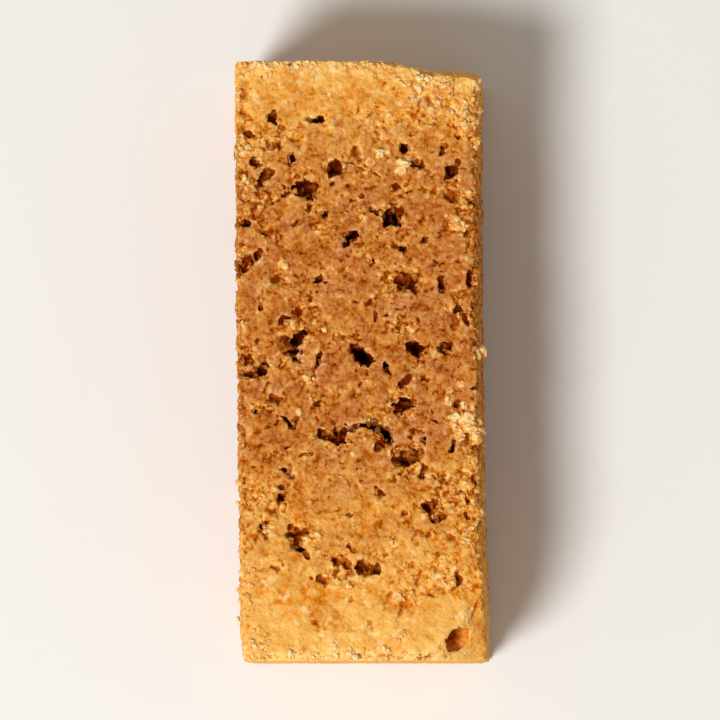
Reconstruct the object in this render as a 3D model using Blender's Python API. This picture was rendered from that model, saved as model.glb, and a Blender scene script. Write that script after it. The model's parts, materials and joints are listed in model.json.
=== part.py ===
"""A bar of mysore pak, the crumbly gram-flour sweet, cut from a deep slab and lying on a cut side.

The bar lies along Y, its pale ends at -Y and +Y, and stands on z = 0 with the middle of its
footprint at the origin. It is one solid: a worn box with one end cut askew, a broken corner and
the hollows that the frothing ghee left. Metres throughout.
Run it with: blender --background --python part.py
"""

import math
import random

import bmesh
import bpy
from mathutils import Euler, Matrix, Vector, noise

MM = 0.001

# Driving dimensions of the bar
LENGTH = 72.2 * MM
WIDTH = 29.6 * MM
HEIGHT = 24.8 * MM

# How the knife left it: the drift of its sides to -X along the bar, their waist, and a wider foot
DRIFT = 0.9 * MM
WAIST = 0.3 * MM
FOOT_SPREAD = 0.5 * MM
END_SLOPE = 0.5 * MM

# The +Y end runs askew: where that begins across the bar, its angle, and how far down it is left
ASKEW_FROM_X = 1.0 * MM
ASKEW_ANGLE = math.radians(14)
ASKEW_LEFT_AT_FOOT = 0.3
ASKEW_REACH = 12.0 * MM

# The broken corner at +X -Y: a point on the break's face, the break's direction and its one hollow
BREAK_POINT = Vector((14.6, -28.9, 24.8)) * MM
BREAK_DIRECTION = Vector((0.56, -0.52, 0.64))
BREAK_HOLLOW = Vector((11.5, -34.2, 22.6)) * MM
BREAK_HOLLOW_SIZE = Vector((2.8, 3.0, 3.6)) * MM

# The surface: cells of the cage, round of the rubbed edges, lumps of crumb and loss along the edges
CELL = 2.0 * MM
EDGE_ROUND = 0.8 * MM
LUMP_HEIGHT = 0.42 * MM
LUMP_SIZE = 3.1 * MM
EDGE_LOSS = 0.75 * MM
EDGE_LOSS_SIZE = 4.6 * MM

# The large hollows of the top face, in millimetres: x, y, length, breadth, depth, and turn in degrees
TOP_HOLLOWS = (
    (-10.7, 29.4, 1.6, 1.2, 1.8, 20),
    (-5.3, 29.2, 2.0, 1.2, 1.6, 0),
    (-8.3, 24.5, 2.0, 1.1, 1.4, 120),
    (-3.1, 23.0, 1.9, 1.3, 2.2, 70),
    (-11.4, 22.6, 2.2, 1.6, 1.2, 60),
    (-6.5, 20.9, 2.9, 2.2, 2.8, 20),
    (10.8, 23.0, 2.2, 1.4, 2.2, 80),
    (10.8, 20.0, 2.4, 1.4, 1.2, 0),
    (3.8, 17.1, 2.6, 2.1, 3.2, 30),
    (-1.4, 14.6, 2.0, 1.4, 2.2, 40),
    (4.7, 13.8, 2.4, 1.2, 1.4, 150),
    (5.8, 9.5, 2.9, 2.2, 2.6, 160),
    (-7.8, 2.3, 3.2, 1.6, 2.2, 60),
    (0.1, 0.5, 3.5, 2.2, 3.2, 145),
    (6.8, 1.5, 2.0, 1.5, 2.2, 150),
    (10.3, 1.4, 1.9, 1.5, 2.0, 60),
    (-12.6, -1.0, 3.2, 1.4, 1.6, 10),
    (5.2, -5.7, 2.4, 1.9, 1.6, 35),
    (5.8, -11.7, 3.0, 1.5, 2.0, 10),
    (11.0, -10.4, 2.0, 1.2, 1.4, 70),
    (-9.3, -15.3, 2.2, 1.3, 1.4, 100),
    (8.3, -17.7, 2.2, 1.4, 1.8, 160),
    (-7.8, -21.5, 3.0, 2.4, 1.7, 30),
    (-2.3, -24.4, 2.8, 1.2, 1.4, 170),
    (0.9, -25.4, 2.8, 2.0, 2.0, 175),
    (11.5, -26.1, 1.8, 1.4, 1.6, 70),
)

# The crack across the top face: an arch of overlapping hollows, its two ends, rise and hollow size
CRACK_START = Vector((-6.2, -9.6)) * MM
CRACK_END = Vector((3.6, -9.4)) * MM
CRACK_RISE = 1.6 * MM
CRACK_HOLLOWS = 5
CRACK_SIZE = Vector((2.7, 1.1, 3.0)) * MM

# Hollows where the photograph can't see: how many, how large, and where they thin out
SIDE_HOLLOWS = 13
END_HOLLOWS = 2
UNDER_HOLLOWS = 7
HOLLOW_LENGTH = (1.6 * MM, 3.2 * MM)
HOLLOW_SEED = 11
PALE_END = 9.0 * MM
CLEAR_OF_ORIGIN = 5.0 * MM

CRUMB_COLOUR = (0.50, 0.20, 0.045, 1.0)
CRUMB_ROUGHNESS = 0.7


def clear_scene():
    """Removes whatever the file holds."""
    for obj in list(bpy.data.objects):
        bpy.data.objects.remove(obj, do_unlink=True)


def new_collection(name):
    """Adds an empty collection to the scene."""
    collection = bpy.data.collections.new(name)
    bpy.context.scene.collection.children.link(collection)
    return collection


def crumb_material():
    """The baked crumb: golden brown and dull, with no metal in it."""
    material = bpy.data.materials.new("baked_crumb")
    material.use_nodes = True
    shader = material.node_tree.nodes["Principled BSDF"]
    shader.inputs["Base Color"].default_value = CRUMB_COLOUR
    shader.inputs["Roughness"].default_value = CRUMB_ROUGHNESS
    shader.inputs["Metallic"].default_value = 0.0
    return material


def ramp(value, low, high):
    """Rises smoothly from 0 at low to 1 at high."""
    share = min(1.0, max(0.0, (value - low) / (high - low)))
    return share * share * (3 - 2 * share)


def box_cage():
    """A closed box of near-square cells, centred on the origin."""
    bm = bmesh.new()
    bmesh.ops.create_cube(bm, size=1.0)
    size = Vector((WIDTH, LENGTH, HEIGHT))
    bmesh.ops.scale(bm, vec=size, verts=bm.verts)
    for axis in range(3):
        along = [e for e in bm.edges if abs((e.verts[0].co - e.verts[1].co).normalized()[axis]) > 0.9]
        bmesh.ops.subdivide_edges(bm, edges=along, cuts=round(size[axis] / CELL) - 1, use_grid_fill=True)
    return bm


def rubbed(point):
    """Where a point of the sharp box lies once its edges are rubbed round."""
    half = Vector((WIDTH, LENGTH, HEIGHT)) / 2
    core = Vector([max(EDGE_ROUND - h, min(h - EDGE_ROUND, c)) for c, h in zip(point, half)])
    out = point - core
    return core + out.normalized() * EDGE_ROUND if out.length > 1e-9 else point


def knife_cut(point):
    """Bends the box to the knife's cuts: drift, waist, wider foot, sloping ends and the askew end."""
    along = point.y / (LENGTH / 2)
    up = point.z / HEIGHT
    across = point.x / (WIDTH / 2)
    x = point.x - DRIFT / 2 * along - across * (WAIST / 2 * (1 - along * along) + FOOT_SPREAD / 2 * up)
    y = point.y - END_SLOPE * up * along
    fade = ramp(point.y, LENGTH / 2 - ASKEW_REACH, LENGTH / 2)
    skew = math.tan(ASKEW_ANGLE) * max(0.0, x - ASKEW_FROM_X)
    left = ASKEW_LEFT_AT_FOOT + (1 - ASKEW_LEFT_AT_FOOT) * ramp(up, 0.0, 0.9)
    return Vector((x, y - skew * left * fade, point.z))


def break_corner(bm):
    """Lays all that is beyond the break's plane onto it, with a crisp line where the break begins."""
    direction = BREAK_DIRECTION.normalized()
    everything = bm.verts[:] + bm.edges[:] + bm.faces[:]
    bmesh.ops.bisect_plane(bm, geom=everything, dist=1e-7, plane_co=BREAK_POINT, plane_no=direction)
    for vert in bm.verts:
        beyond = (vert.co - BREAK_POINT).dot(direction)
        if beyond > 0:
            vert.co -= direction * beyond


def edge_share(point):
    """1 on an edge of the box, falling to 0 a few rounds of the edge away from it."""
    half = (WIDTH / 2, LENGTH / 2, HEIGHT / 2)
    middle = (0.0, 0.0, HEIGHT / 2)
    inset = sorted(h - abs(c - m) for c, m, h in zip(point, middle, half))
    return 1 - ramp(inset[1], 0.0, 3 * EDGE_ROUND)


def crumble(bm):
    """Lumps on the faces and losses along the edges. The underside stays flat."""
    bm.normal_update()
    moves = []
    for vert in bm.verts:
        lump = noise.noise(vert.co / LUMP_SIZE) - 0.5
        loss = max(0.0, noise.noise(vert.co / EDGE_LOSS_SIZE + Vector((7, 3, 5)))) * edge_share(vert.co)
        moves.append(vert.normal * (LUMP_HEIGHT * lump - EDGE_LOSS * 2 * loss))
    for vert, move in zip(bm.verts, moves):
        if vert.co.z < 1e-6:
            move.z = 0.0
        vert.co += move
        vert.co.z = max(0.0, vert.co.z)


def add_hollow(cutters, middle, size, turn):
    """One cutter: a lumpy ball of a given size, turned and set with its middle on the surface."""
    bm = bmesh.new()
    bmesh.ops.create_icosphere(bm, subdivisions=2, radius=0.5)
    for vert in bm.verts:
        vert.co *= 1 + 0.55 * noise.noise(vert.co * 3.4 + middle * 900)
    bmesh.ops.scale(bm, vec=size, verts=bm.verts)
    bmesh.ops.transform(bm, matrix=Matrix.LocRotScale(middle, turn, None), verts=bm.verts)
    mesh = bpy.data.meshes.new("hollow")
    bm.to_mesh(mesh)
    bm.free()
    cutter = bpy.data.objects.new("hollow", mesh)
    cutter.hide_render = True
    cutter.display_type = "WIRE"
    cutters.objects.link(cutter)


def add_shown_hollows(cutters):
    """The hollows that the photograph shows: on the top face, along its crack and in the break."""
    for x, y, length, breadth, depth, turn in TOP_HOLLOWS:
        place = Vector((x * MM, y * MM, HEIGHT))
        size = Vector((length, breadth, 2 * depth)) * MM
        add_hollow(cutters, place, size, Euler((0, 0, math.radians(turn))))
    for step in range(CRACK_HOLLOWS):
        share = step / (CRACK_HOLLOWS - 1)
        place = CRACK_START.lerp(CRACK_END, share).to_3d() + Vector((0, 0, HEIGHT))
        place.y += CRACK_RISE * math.sin(math.pi * share)
        lean = math.atan(math.pi * CRACK_RISE * math.cos(math.pi * share) / (CRACK_END - CRACK_START).length)
        add_hollow(cutters, place, CRACK_SIZE, Euler((0, 0, lean)))
    add_hollow(cutters, BREAK_HOLLOW, BREAK_HOLLOW_SIZE, Euler((0.6, 0.6, 0)))


def add_unseen_hollows(cutters):
    """Seeded hollows on the sides, ends and underside, fewer towards the pale ends."""
    rng = random.Random(HOLLOW_SEED)
    half_x, half_y = WIDTH / 2, LENGTH / 2
    reach = half_y - PALE_END

    def add_random(place, share=1.0):
        length = rng.uniform(*HOLLOW_LENGTH) * share
        size = Vector((length, length * rng.uniform(0.55, 0.9), length * rng.uniform(0.8, 1.5)))
        add_hollow(cutters, place, size, Euler([rng.uniform(0, math.tau) for _ in range(3)]))

    for side in (-1, 1):
        for _ in range(SIDE_HOLLOWS):
            height = rng.uniform(0.14, 0.84) * HEIGHT
            add_random(Vector((side * half_x, rng.triangular(-reach, reach, 0), height)))
        for _ in range(END_HOLLOWS):
            place = Vector((rng.uniform(-0.7, 0.5) * half_x, side * half_y, rng.uniform(0.2, 0.7) * HEIGHT))
            add_random(place, 0.7)
    for side in (-1, 1):
        for _ in range(UNDER_HOLLOWS):
            x = rng.uniform(-0.8, 0.8) * half_x
            add_random(Vector((x, side * rng.uniform(CLEAR_OF_ORIGIN, reach), 0)))


def add_bar(collection, cutters):
    """The bar itself, with its hollows cut by one live Boolean."""
    bm = box_cage()
    for vert in bm.verts:
        vert.co = knife_cut(rubbed(vert.co)) + Vector((0, 0, HEIGHT / 2))
    break_corner(bm)
    crumble(bm)
    bmesh.ops.triangulate(bm, faces=bm.faces)
    mesh = bpy.data.meshes.new("mysore_pak")
    bm.to_mesh(mesh)
    bm.free()
    mesh.materials.append(crumb_material())
    bar = bpy.data.objects.new("mysore_pak", mesh)
    collection.objects.link(bar)
    cut = bar.modifiers.new("hollows", "BOOLEAN")
    cut.operation = "DIFFERENCE"
    cut.operand_type = "COLLECTION"
    cut.collection = cutters
    cut.solver = "MANIFOLD"
    return bar


def centre_footprint(bar, cutters):
    """Moves the bar and its cutters together so that the bar's box is centred over the origin."""
    xs = [vert.co.x for vert in bar.data.vertices]
    ys = [vert.co.y for vert in bar.data.vertices]
    shift = Matrix.Translation((-(min(xs) + max(xs)) / 2, -(min(ys) + max(ys)) / 2, 0))
    for obj in [bar, *cutters.objects]:
        obj.data.transform(shift)


def main():
    clear_scene()
    parts = new_collection("mysore_pak_bar")
    cutters = new_collection("hollow_cutters")
    add_shown_hollows(cutters)
    add_unseen_hollows(cutters)
    bar = add_bar(parts, cutters)
    centre_footprint(bar, cutters)


main()
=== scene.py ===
# One bar of mysore pak, the crumbly gram-flour sweet: porous crumb, fused grains and a few loose crumbs.
# The bar lies along Y on a pale floor and is seen from above, with the slab's pale ends at -Y and +Y.

import json
import math
import random
import time

import bmesh
import bpy
import numpy
from mathutils import Euler, Matrix, Vector, noise
from mathutils.bvhtree import BVHTree
from mathutils.kdtree import KDTree

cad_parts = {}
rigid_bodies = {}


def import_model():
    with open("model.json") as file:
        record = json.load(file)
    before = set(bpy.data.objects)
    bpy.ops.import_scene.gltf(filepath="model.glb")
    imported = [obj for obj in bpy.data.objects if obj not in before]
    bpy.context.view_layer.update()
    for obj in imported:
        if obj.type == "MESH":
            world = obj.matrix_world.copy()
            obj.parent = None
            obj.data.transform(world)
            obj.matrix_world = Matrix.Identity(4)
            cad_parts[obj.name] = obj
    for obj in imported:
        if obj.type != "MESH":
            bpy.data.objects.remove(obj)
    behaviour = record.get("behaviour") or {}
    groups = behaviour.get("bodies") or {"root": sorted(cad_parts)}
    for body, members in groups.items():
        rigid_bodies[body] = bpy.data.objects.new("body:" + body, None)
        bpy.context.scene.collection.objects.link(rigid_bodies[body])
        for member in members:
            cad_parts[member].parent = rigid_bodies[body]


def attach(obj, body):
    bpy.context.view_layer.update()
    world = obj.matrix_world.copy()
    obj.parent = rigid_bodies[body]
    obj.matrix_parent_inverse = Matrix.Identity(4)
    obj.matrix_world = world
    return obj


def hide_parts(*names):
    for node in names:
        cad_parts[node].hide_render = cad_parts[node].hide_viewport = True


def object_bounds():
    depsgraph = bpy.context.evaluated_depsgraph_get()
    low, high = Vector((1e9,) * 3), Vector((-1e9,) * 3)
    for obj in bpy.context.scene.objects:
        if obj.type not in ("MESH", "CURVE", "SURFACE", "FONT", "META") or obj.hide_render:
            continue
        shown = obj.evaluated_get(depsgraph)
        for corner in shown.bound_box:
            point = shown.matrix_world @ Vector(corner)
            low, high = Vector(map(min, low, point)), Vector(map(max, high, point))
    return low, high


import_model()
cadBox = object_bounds()
mm = 0.001
started = time.time()
noise.seed_set(3)  # noise vectors would differ from run to run otherwise


def report(stage):
    print(f"mysore pak: {stage}, {time.time() - started:.1f} s")


def ramp(value, low, high):  # 0 at low, 1 at high, smooth between them
    share = min(1.0, max(0.0, (value - low) / (high - low)))
    return share * share * (3 - 2 * share)


def meshObject(name, bm):
    mesh = bpy.data.meshes.new(name)
    bm.to_mesh(mesh)
    bm.free()
    obj = bpy.data.objects.new(name, mesh)
    bpy.context.scene.collection.objects.link(obj)
    return obj


def applyModifiers(obj):
    evaluated = obj.evaluated_get(bpy.context.evaluated_depsgraph_get())
    finished = bpy.data.meshes.new_from_object(evaluated)
    obj.modifiers.clear()
    obj.data = finished


def removeCollection(collection):
    for obj in list(collection.objects):
        bpy.data.objects.remove(obj, do_unlink=True)
    bpy.data.collections.remove(collection)


def moveTo(obj, collection):
    bpy.context.scene.collection.objects.unlink(obj)
    collection.objects.link(obj)


def keepInBox(mesh):  # nothing stands proud of the solid's own box
    low, high = (Vector(c) + Vector((s, s, s)) * 1e-6 for c, s in zip(cadBox, (1, -1)))
    for vert in mesh.vertices:
        vert.co = [max(a, min(b, c)) for a, b, c in zip(low, high, vert.co)]


# The bar's form, as the knife and the broken corner left it
bar = {
    "length": 72.6 * mm,
    "width": 29.5 * mm,
    "height": 24.35 * mm,
    "topFrom": 20.0 * mm,
    "cell": 0.9 * mm,
    "edgeRound": 0.5 * mm,
    "drift": 0.9 * mm,
    "waist": 0.2 * mm,
    "bow": 0.3 * mm,
    "footSpread": 0.4 * mm,
    "endSlope": -0.1 * mm,
    "askewFromX": 1.0 * mm,
    "askewAngle": math.radians(13.2),
    "askewLeftAtFoot": 0.3,
    "askewReach": 12.0 * mm,
    "breakPoint": Vector((14.6, -28.9, 24.35)) * mm,
    "breakDirection": Vector((0.56, -0.52, 0.64)).normalized(),
    "breakHollow": Vector((11.6, -33.7, 22.6)) * mm,
    "breakHollowSize": Vector((3.5, 3.2, 3.8)) * mm,
}
half = Vector((bar["width"], bar["length"], bar["height"])) / 2


def rubbedEdge(point):
    edge = bar["edgeRound"]
    core = Vector([max(edge - h, min(h - edge, c)) for c, h in zip(point, half)])
    out = point - core
    return core + out.normalized() * edge if out.length > 1e-9 else point


def knifeCut(point):  # from a true block round the origin to the bar as it lies
    along, across, up = point.y / half.y, point.x / half.x, point.z / bar["height"]
    narrower = bar["waist"] / 2 * (1 - along * along) + bar["footSpread"] / 2 * up
    x = point.x - bar["drift"] / 2 * along - across * narrower - bar["bow"] * (1 - along * along)
    y = point.y - bar["endSlope"] * up * along
    fade = ramp(point.y, half.y - bar["askewReach"], half.y)
    skew = math.tan(bar["askewAngle"]) * max(0.0, x - bar["askewFromX"])
    left = bar["askewLeftAtFoot"] + (1 - bar["askewLeftAtFoot"]) * ramp(up, 0.0, 0.9)
    return Vector((x, y - skew * left * fade, point.z + half.z))


def cutBar():
    bm = bmesh.new()
    bmesh.ops.create_cube(bm, size=1.0)
    bmesh.ops.scale(bm, vec=half * 2, verts=bm.verts)
    for axis in range(3):
        along = [e for e in bm.edges if abs((e.verts[0].co - e.verts[1].co).normalized()[axis]) > 0.9]
        cuts = round(2 * half[axis] / bar["cell"]) - 1
        bmesh.ops.subdivide_edges(bm, edges=along, cuts=cuts, use_grid_fill=True)
    for vert in bm.verts:
        vert.co = knifeCut(rubbedEdge(vert.co))
    everything = bm.verts[:] + bm.edges[:] + bm.faces[:]
    point, direction = bar["breakPoint"], bar["breakDirection"]
    bmesh.ops.bisect_plane(bm, geom=everything, dist=1e-7, plane_co=point, plane_no=direction)
    for vert in bm.verts:
        beyond = (vert.co - point).dot(direction)
        if beyond > 0:
            vert.co -= direction * beyond
    bmesh.ops.triangulate(bm, faces=bm.faces)
    return meshObject("crumbBar", bm)


# The wide holes that the frothing ghee left in the top
# Millimetres: x, y, length, breadth and depth, then the turn in degrees
topHollows = [
    (-10.6, 29.4, 1.0, 0.8, 2.8, 60),
    (-5.3, 29.1, 1.6, 0.8, 2.8, 5),
    (7.1, 23.8, 1.2, 0.8, 0.9, 160),
    (-3.1, 23.0, 1.5, 0.8, 3.0, 70),
    (11.0, 22.8, 1.8, 1.0, 1.5, 80),
    (-11.4, 22.4, 2.4, 1.0, 1.0, 60),
    (-6.5, 20.8, 2.8, 1.9, 1.8, 20),
    (10.9, 20.0, 2.0, 1.0, 0.7, 170),
    (3.9, 17.1, 2.0, 1.7, 3.0, 30),
    (5.6, 9.4, 2.0, 1.4, 1.2, 160),
    (6.9, 1.5, 1.6, 1.1, 1.8, 140),
    (10.3, 1.3, 1.5, 0.9, 1.5, 60),
    (0.1, 0.5, 3.0, 1.4, 3.2, 140),
    (5.2, -5.7, 2.0, 1.3, 1.6, 35),
    (-3.4, -9.2, 3.4, 1.3, 1.3, 175),
    (6.0, -11.9, 1.8, 1.0, 1.2, 40),
    (8.3, -17.8, 1.6, 0.9, 3.0, 10),
    (-7.8, -21.1, 2.7, 1.7, 1.0, 0),
    (-2.2, -24.5, 2.1, 0.7, 1.4, 172),
    (0.8, -25.2, 2.9, 1.4, 1.6, 172),
]

# The narrow ones and the cracks among them. Millimetres: width, depth, then x and y of each bend
topGashes = [
    (0.35, 0.5, (-9.9, 28.3), (-9.1, 28.0)),
    (0.45, 0.9, (-13.9, 27.6), (-12.8, 27.2)),
    (0.6, 1.5, (5.0, 25.8), (5.8, 25.4)),
    (0.45, 0.7, (10.1, 25.9), (9.8, 25.2), (10.0, 24.7)),
    (0.5, 1.2, (-8.8, 24.2), (-8.2, 24.8), (-8.0, 24.3)),
    (0.45, 0.8, (11.7, 24.5), (11.4, 24.0)),
    (0.5, 0.9, (-13.1, 24.0), (-12.5, 23.6)),
    (0.4, 0.9, (1.5, 22.5), (2.2, 22.3)),
    (0.4, 0.6, (4.4, 20.7), (4.9, 21.1)),
    (0.4, 0.7, (-9.4, 20.1), (-8.6, 20.2)),
    (0.4, 0.8, (-6.1, 18.4), (-5.7, 18.2)),
    (0.5, 1.0, (1.3, 18.3), (2.3, 17.9)),
    (0.5, 1.2, (-4.2, 17.9), (-4.3, 17.3)),
    (0.45, 1.0, (-14.3, 16.5), (-13.7, 16.6)),
    (0.4, 0.6, (-8.2, 16.6), (-7.7, 16.9)),
    (0.75, 2.6, (-0.6, 15.1), (-1.3, 14.6), (-1.6, 13.9)),
    (0.45, 0.7, (7.5, 14.4), (8.1, 14.6)),
    (0.5, 1.1, (4.1, 13.9), (4.9, 13.7), (5.5, 13.3)),
    (0.45, 1.2, (-11.8, 13.3), (-12.4, 12.7), (-12.9, 12.1)),
    (1.2, 0.9, (-13.3, 12.2), (-14.1, 11.4), (-14.9, 10.7)),
    (0.45, 1.0, (9.0, 11.9), (9.1, 11.5)),
    (0.7, 0.8, (13.5, 10.4), (13.1, 9.2)),
    (0.5, 1.3, (-4.8, 10.1), (-5.5, 9.4)),
    (0.5, 1.2, (9.9, 9.7), (10.0, 9.0), (10.0, 8.5)),
    (0.9, 1.0, (6.2, 8.9), (6.7, 8.3)),
    (0.35, 0.4, (-11.7, 8.2), (-12.0, 7.2), (-11.8, 6.2)),
    (0.35, 0.7, (1.1, 6.9), (1.5, 7.0)),
    (0.4, 1.0, (11.2, 6.4), (12.1, 6.0)),
    (0.45, 1.0, (12.4, 5.4), (13.1, 4.5)),
    (0.4, 0.6, (-7.9, 5.6), (-6.9, 5.7)),
    (0.5, 1.5, (1.8, 5.7), (1.6, 4.9)),
    (0.35, 0.7, (2.8, 5.2), (3.7, 5.3)),
    (0.35, 0.7, (7.0, 5.1), (7.1, 4.4)),
    (0.45, 1.0, (-9.6, 4.6), (-8.7, 5.0)),
    (0.8, 1.8, (-6.9, 3.3), (-7.6, 2.8), (-8.1, 2.1), (-8.2, 1.3)),
    (0.5, 1.0, (-9.1, 2.5), (-8.7, 2.3)),
    (0.5, 1.5, (-9.2, 0.8), (-8.1, 0.8), (-7.5, 0.0)),
    (0.45, 1.4, (-4.8, 0.9), (-5.1, 0.1), (-5.5, -1.1)),
    (0.6, 1.6, (3.1, -0.4), (3.2, -1.3)),
    (0.45, 0.5, (-15.0, 0.7), (-13.6, 0.0)),
    (0.55, 1.3, (-14.6, -1.3), (-13.2, -1.9), (-12.0, -1.5), (-11.6, -0.6)),
    (0.4, 0.8, (7.6, -1.9), (8.2, -2.3)),
    (0.5, 1.3, (5.6, -2.1), (5.2, -2.6), (4.8, -3.2)),
    (0.45, 1.0, (-11.0, -2.8), (-11.4, -3.8)),
    (0.4, 0.7, (-5.9, -5.8), (-5.1, -5.5), (-4.2, -5.0)),
    (0.45, 1.0, (11.5, -5.0), (11.5, -5.9)),
    (0.5, 0.9, (-12.8, -6.1), (-12.3, -6.4)),
    (0.6, 1.6, (-9.0, -7.0), (-8.7, -7.5), (-8.4, -8.0)),
    (0.45, 1.1, (-7.8, -7.4), (-7.5, -7.1)),
    (0.35, 0.8, (8.7, -7.3), (9.1, -7.3)),
    (0.55, 2.2, (-2.2, -8.7), (-0.8, -8.2), (0.3, -7.8), (1.5, -7.8)),
    (0.85, 3.2, (1.4, -7.9), (2.5, -8.5), (3.4, -9.5)),
    (0.6, 0.8, (2.7, -9.9), (2.2, -10.8)),
    (0.4, 0.9, (6.1, -9.3), (6.5, -8.6), (7.4, -8.4)),
    (0.5, 1.1, (7.7, -9.3), (7.6, -10.0)),
    (0.5, 1.4, (11.3, -9.8), (11.1, -10.8), (10.7, -10.9)),
    (0.4, 0.9, (3.9, -10.9), (4.4, -11.6)),
    (0.5, 1.1, (-6.0, -11.2), (-6.8, -11.7)),
    (0.6, 1.6, (4.5, -12.3), (5.4, -12.0)),
    (0.5, 1.3, (7.7, -12.8), (7.6, -14.0)),
    (0.5, 1.2, (-9.2, -13.3), (-8.7, -13.6), (-8.1, -14.1)),
    (0.4, 0.8, (9.9, -14.1), (10.2, -13.9)),
    (0.35, 0.7, (8.8, -14.1), (9.1, -14.2)),
    (0.4, 1.0, (4.2, -13.8), (4.3, -14.8)),
    (0.5, 1.0, (-9.3, -15.0), (-9.8, -15.4), (-10.2, -15.3)),
    (0.5, 1.3, (2.0, -15.5), (2.3, -15.9), (2.5, -16.5)),
    (0.5, 1.2, (-9.6, -16.3), (-9.5, -17.1)),
    (0.45, 1.0, (11.6, -16.4), (12.2, -16.1), (13.0, -16.9)),
    (0.5, 0.6, (-1.6, -18.8), (-0.9, -18.6)),
    (0.4, 0.8, (12.9, -18.6), (13.1, -19.3)),
    (0.5, 1.4, (8.8, -19.2), (9.5, -19.1), (10.1, -19.0)),
    (0.45, 1.0, (-11.4, -19.5), (-12.1, -20.0), (-11.9, -20.9), (-11.2, -21.2)),
    (0.5, 0.6, (-1.2, -22.4), (-1.0, -22.9)),
    (0.6, 1.6, (-8.2, -22.6), (-7.0, -22.6), (-6.2, -23.5)),
    (0.5, 1.0, (-10.5, -25.3), (-10.1, -25.2)),
    (0.45, 1.0, (-3.2, -25.8), (-2.9, -25.6)),
    (0.5, 1.2, (11.6, -25.7), (11.9, -26.7), (11.3, -27.8)),
    (0.45, 0.9, (-4.9, -26.4), (-4.1, -27.0)),
    (0.45, 0.6, (6.9, -26.8), (7.2, -27.5)),
    (0.4, 0.5, (3.6, -28.2), (3.6, -28.8)),
    (0.45, 0.6, (8.3, -28.2), (8.7, -28.8)),
    (0.45, 0.6, (5.0, -30.4), (5.6, -29.6)),
    (0.45, 0.7, (1.1, -31.8), (1.4, -32.3)),
]

hollows = {
    "roughness": 0.75,
    "core": (0.8, 0.8, 1.1),
    "rimBite": 0.36 * mm,
    "biteReach": (0.28, 0.54),
    "biteSizes": (0.5, 1.1),
    "gashStep": 0.45,
    "gashAside": 0.32,
    "gashWidths": (0.5, 1.35),
    "slitBreadth": 0.45,
    "narrowest": 0.42,
    "slitReach": 3.6 * mm,
    "slitDepth": (0.9, 2.4),
    "facePits": {(0, 0, 1): 36, (1, 0, 0): 170, (-1, 0, 0): 170,
                 (0, 1, 0): 30, (0, -1, 0): 30, (0, 0, -1): 90},
    "pitLength": (0.45, 1.3),
    "edgeBites": 60,
    "biteSize": (0.8, 2.6),
    "seed": 5,
}


def addBlob(cutters, place, size, turn, rounds=2, roughness=hollows["roughness"]):
    bm = bmesh.new()
    bmesh.ops.create_icosphere(bm, subdivisions=rounds, radius=0.5)
    for vert in bm.verts:
        dent = noise.noise(vert.co * 3.4 + place * 900) + 0.6 * noise.noise(vert.co * 8 + place * 700)
        vert.co *= 1 + roughness * dent
    bmesh.ops.scale(bm, vec=size, verts=bm.verts)
    bmesh.ops.transform(bm, matrix=Matrix.LocRotScale(place, turn, None), verts=bm.verts)
    moveTo(meshObject("hollow", bm), cutters)


def addHollow(cutters, rng, place, size, angle):  # one wide blob, with the grains round it broken away
    turn = Euler((0, 0, angle))
    core = Vector([share * length for share, length in zip(hollows["core"], size)])
    addBlob(cutters, place, core, turn, 3)
    bites = round(1.6 * (size.x + size.y) / hollows["rimBite"])
    for bite in range(bites):
        around = math.tau * (bite + rng.uniform(-0.4, 0.4)) / bites
        reach = rng.uniform(*hollows["biteReach"])
        offset = Vector((size.x * math.cos(around), size.y * math.sin(around), 0)) * reach
        offset.rotate(turn)
        chip = rng.uniform(*hollows["biteSizes"]) * mm
        chipSize = Vector((chip * rng.uniform(1, 1.6), chip, min(size.z, chip * rng.uniform(1.5, 4))))
        addBlob(cutters, place + offset, chipSize, Euler((0, 0, rng.uniform(0, math.tau))), 1)


def addGash(cutters, rng, bends, width, depth):  # a row of broken-out grains from bend to bend
    for start, end in zip(bends, bends[1:]):
        steps = max(2, round((end - start).length / (hollows["gashStep"] * width)))
        for step in range(steps + 1):
            aside = Vector((rng.uniform(-1, 1), rng.uniform(-1, 1), 0)) * hollows["gashAside"] * width
            chip = max(width * rng.uniform(*hollows["gashWidths"]), hollows["narrowest"] * mm)
            size = Vector((chip * rng.uniform(1, 1.5), chip, 2 * depth * rng.uniform(0.5, 1)))
            place = start.lerp(end, step / steps) + aside
            addBlob(cutters, place, size, Euler((0, 0, rng.uniform(0, math.tau))), 1)


def addSlit(cutters, rng, place, facing, length, angle):  # two or three grains gone, in a bent row
    turn = facing.to_track_quat("Z", "Y").to_matrix()
    breadth = max(hollows["slitBreadth"] * length, hollows["narrowest"] * mm)
    beads = 2 if length < 1.0 * mm else 3
    bend = rng.uniform(-0.5, 0.5)
    for bead in range(beads):
        share = bead / (beads - 1) - 0.5
        heading = angle + bend * share * 2
        offset = Vector((math.cos(heading), math.sin(heading), 0)) * share * length * 0.6
        wide = breadth * rng.uniform(0.75, 1.25)
        size = Vector((length / beads * 1.5, wide, 2 * wide * rng.uniform(*hollows["slitDepth"])))
        beadTurn = (turn @ Matrix.Rotation(heading, 3, "Z")).to_euler()
        addBlob(cutters, place + turn @ offset, size, beadTurn, 1)


def shownHollows(cutters, rng):
    top = Vector((0, 0, bar["height"]))
    for x, y, length, breadth, depth, turn in topHollows:
        size = Vector((length, breadth, 2 * depth)) * mm
        addHollow(cutters, rng, Vector((x, y, 0)) * mm + top, size, math.radians(turn))
    for width, depth, *bends in topGashes:
        places = [Vector((x, y, 0)) * mm + top for x, y in bends]
        addGash(cutters, rng, places, width * mm, depth * mm)
    addBlob(cutters, bar["breakHollow"], bar["breakHollowSize"], Euler((0, 0, 0)), 3, 0.2)


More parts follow.
